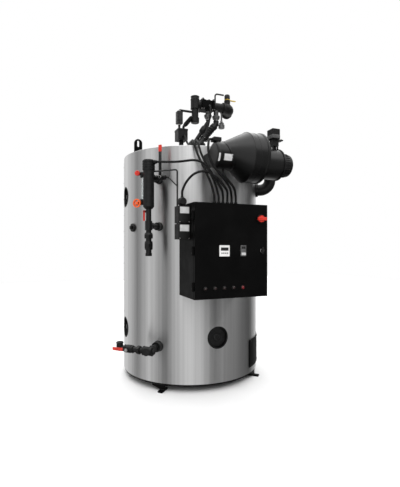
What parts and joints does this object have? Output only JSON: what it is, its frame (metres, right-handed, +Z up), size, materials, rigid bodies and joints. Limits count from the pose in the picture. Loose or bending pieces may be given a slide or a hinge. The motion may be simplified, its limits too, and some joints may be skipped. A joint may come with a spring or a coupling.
{
  "type": "industrial boiler",
  "caption": "Vertical packaged steam boiler: round insulated jacket on feet, hinged control cabinet, water column, blowdown line, air blower and gas train.",
  "frame": {"origin": "on the boiler's axis at floor level, centre of the anchor bolt circle", "axes": "+Z up along the boiler's axis, control cabinet towards -Y, fan motor towards +X"},
  "size_m": [1.4325, 1.726, 2.514],
  "materials": {
    "stainless": "brushed",
    "black_paint": "satin",
    "black_plastic": "matte",
    "grey_casting": "cast",
    "red_grip": "satin",
    "orange_wheel": "gloss",
    "yellow_lever": "gloss",
    "gauge_glass": "clear",
    "instrument_white": "satin",
    "lamp_red": "gloss",
    "lead_rubber": "matte"
  },
  "bodies": {
    "boiler": {"access_panel": "black_paint", "air_drum": "black_paint", "air_duct": "black_paint", "air_switch": "black_plastic", "base_plate": "black_paint", "blowdown_pipe": "black_paint", "burner_head": "black_paint", "cabinet_body": "black_paint", "cabinet_brackets": "black_paint", "cabinet_hinges": "black_paint", "column_lower_pipe": "black_paint", "column_upper_pipe": "black_paint", "damper_actuator": "black_plastic", "fan_housing": "black_paint", "fan_motor": "black_paint", "feedwater_inlet": "black_paint", "flue_outlet": "stainless", "foot_front_left": "black_paint", "foot_front_right": "black_paint", "foot_rear_left": "black_paint", "foot_rear_right": "black_paint", "gas_drop_pipes": "black_paint", "gas_inlet_tee": "black_paint", "gas_main": "black_paint", "gas_pressure_switch": "grey_casting", "gas_regulators": "grey_casting", "gas_valve": "black_paint", "gauge_cocks": "black_paint", "gauge_glass": "gauge_glass", "gland_plate": "black_paint", "handhole_front": "black_paint", "handhole_rear": "black_paint", "handholes_left": "black_paint", "handholes_right": "black_paint", "ignition_box": "black_paint", "inspection_plug": "black_paint", "jacket_front": "stainless", "jacket_rear": "stainless", "leads": "lead_rubber", "lifting_lug_left": "black_paint", "lifting_lug_right": "black_paint", "pilot_valve": "grey_casting", "pressure_switches": "black_plastic", "pressure_tube": "black_paint", "recirculation_pipe": "black_paint", "steam_outlet": "black_paint", "top_cover": "stainless", "water_column": "black_paint"},
    "door": {"cabinet_door": "black_paint", "panel_instruments": "instrument_white", "pilot_lamps": "lamp_red"},
    "disconnect": {"disconnect_handle": "red_grip"},
    "latch": {"door_latch": "black_paint"},
    "column_lever_body": {"column_lever": "black_paint"},
    "drain_lever_body": {"drain_lever": "red_grip"},
    "gauge_knob_body": {"gauge_knob": "red_grip"},
    "gauge_wheel_body": {"gauge_wheel": "orange_wheel"},
    "blowdown_lever_body": {"blowdown_lever": "red_grip"},
    "gas_lever_body": {"gas_cock_lever": "yellow_lever"}
  },
  "joints": [
    {"name": "cabinet_door_hinge", "type": "hinge", "parent": "boiler", "child": "door", "pos_m": [-0.339, -0.923, 1.0955], "axis": [0, 0, -1], "range_deg": [0, 120]},
    {"name": "disconnect_turn", "type": "hinge", "parent": "door", "child": "disconnect", "pos_m": [0.178, -0.95, 1.322], "axis": [0, -1, 0], "range_deg": [0, 90]},
    {"name": "latch_turn", "type": "hinge", "parent": "door", "child": "latch", "pos_m": [0.192, -0.94, 1.0955], "axis": [0, -1, 0], "range_deg": [0, 90]},
    {"name": "column_valve_turn", "type": "hinge", "parent": "boiler", "child": "column_lever_body", "pos_m": [-0.45326, -0.54942, 1.642], "axis": [0.7071, 0.7071, 0], "range_deg": [0, 90]},
    {"name": "drain_cock_turn", "type": "hinge", "parent": "boiler", "child": "drain_lever_body", "pos_m": [-0.56993, -0.5275, 1.384], "axis": [0.7071, 0.7071, 0], "range_deg": [0, 90]},
    {"name": "gauge_knob_turn", "type": "hinge", "parent": "boiler", "child": "gauge_knob_body", "pos_m": [-0.61165, -0.49851, 1.668], "axis": [-0.7071, -0.7071, 0], "range_deg": [0, 360]},
    {"name": "gauge_wheel_turn", "type": "hinge", "parent": "boiler", "child": "gauge_wheel_body", "pos_m": [-0.61518, -0.49497, 1.446], "axis": [-0.7071, -0.7071, 0], "range_deg": [0, 360]},
    {"name": "blowdown_valve_turn", "type": "hinge", "parent": "boiler", "child": "blowdown_lever_body", "pos_m": [-0.68345, -0.43834, 0.349], "axis": [0.7145, 0.6997, 0], "range_deg": [0, 90]},
    {"name": "gas_cock_turn", "type": "hinge", "parent": "boiler", "child": "gas_lever_body", "pos_m": [0.305, -0.15, 2.4664], "axis": [0, 0, -1], "range_deg": [0, 90]}
  ]
}
